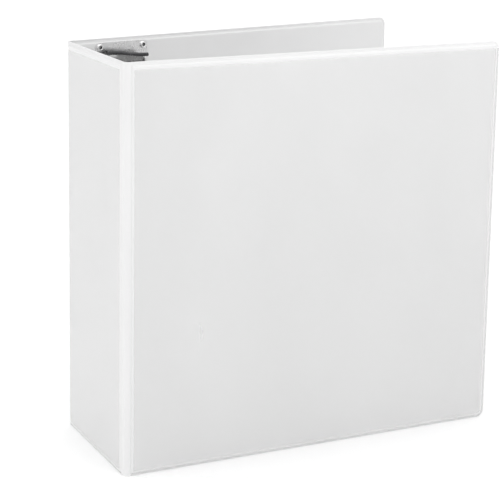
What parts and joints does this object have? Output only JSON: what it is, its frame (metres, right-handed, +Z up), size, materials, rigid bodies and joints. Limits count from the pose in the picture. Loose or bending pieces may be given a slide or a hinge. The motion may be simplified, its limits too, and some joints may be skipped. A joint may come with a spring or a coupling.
{
  "type": "ring binder",
  "caption": "Upright wide-spined ring binder in white vinyl with clear overlay pockets and a D-ring mechanism with opening levers on its back cover.",
  "frame": {"origin": "middle of the back cover's bottom edge, in the middle of its thickness", "axes": "+X along the back cover from its hinge to its fore edge, +Y out of the back cover, +Z up the binder"},
  "size_m": [0.3266, 0.1643, 0.295],
  "materials": {
    "white_vinyl": "satin white vinyl",
    "white_liner": "fine-grained white vinyl",
    "clear_film": "clear film",
    "pocket_film": "white vinyl film",
    "greyboard": "raw greyboard",
    "nickel_plate": "nickel plated steel",
    "ring_wire": "polished nickel plated wire",
    "lever_steel": "dark nickel plated steel"
  },
  "bodies": {
    "back_cover": {"back_board": "greyboard", "back_outer_vinyl": "white_vinyl", "back_liner": "white_liner", "back_clear_overlay": "clear_film", "back_inner_pocket": "pocket_film", "mechanism_housing": "nickel_plate", "mounting_rivets": "nickel_plate", "corner_eyelets": "nickel_plate", "bottom_lever_pin": "nickel_plate", "top_lever_pin": "nickel_plate", "back_hinge_strip": "white_vinyl"},
    "spine": {"spine_board": "greyboard", "spine_outer_vinyl": "white_vinyl", "spine_liner": "white_liner", "spine_clear_overlay": "clear_film", "front_hinge_strip": "white_vinyl"},
    "front_cover": {"front_board": "greyboard", "front_outer_vinyl": "white_vinyl", "front_liner": "white_liner", "front_clear_overlay": "clear_film", "front_inner_pocket": "pocket_film"},
    "spine_side_leaf": {"spine_side_blade": "nickel_plate", "bottom_curved_half": "ring_wire", "middle_curved_half": "ring_wire", "top_curved_half": "ring_wire"},
    "fore_side_leaf": {"fore_side_blade": "nickel_plate", "bottom_straight_post": "ring_wire", "middle_straight_post": "ring_wire", "top_straight_post": "ring_wire"},
    "bottom_lever": {"bottom_lever": "lever_steel"},
    "top_lever": {"top_lever": "lever_steel"}
  },
  "joints": [
    {"name": "spine_hinge", "type": "hinge", "parent": "back_cover", "child": "spine", "pos_m": [-0.153, -0.00125, 0], "axis": [0, 0, -1], "range_deg": [-10.8, 164.2], "deforming": ["back_hinge_strip"]},
    {"name": "front_cover_hinge", "type": "hinge", "parent": "spine", "child": "front_cover", "pos_m": [-0.17436, -0.11323, 0], "axis": [0, 0, -1], "range_deg": [-2, 177.1], "deforming": ["front_hinge_strip"]},
    {"name": "ring_open", "type": "hinge", "parent": "back_cover", "child": "fore_side_leaf", "pos_m": [-0.089, -0.00415, 0.1475], "axis": [0, 0, 1], "range_deg": [0, 8]},
    {"name": "ring_open_spine_side", "type": "hinge", "parent": "back_cover", "child": "spine_side_leaf", "pos_m": [-0.129, -0.00415, 0.1475], "axis": [0, 0, 1], "range_deg": [-8.2, 0]},
    {"name": "top_lever_turn", "type": "hinge", "parent": "back_cover", "child": "top_lever", "pos_m": [-0.109, -0.00705, 0.279], "axis": [1, 0, 0], "range_deg": [-25, 0]},
    {"name": "bottom_lever_turn", "type": "hinge", "parent": "back_cover", "child": "bottom_lever", "pos_m": [-0.109, -0.00705, 0.016], "axis": [1, 0, 0], "range_deg": [0, 25]}
  ],
  "couplings": [
    {"joint": "ring_open_spine_side", "follows": "ring_open", "ratio": -1},
    {"joint": "top_lever_turn", "follows": "ring_open", "ratio": -3},
    {"joint": "bottom_lever_turn", "follows": "ring_open", "ratio": 3}
  ]
}
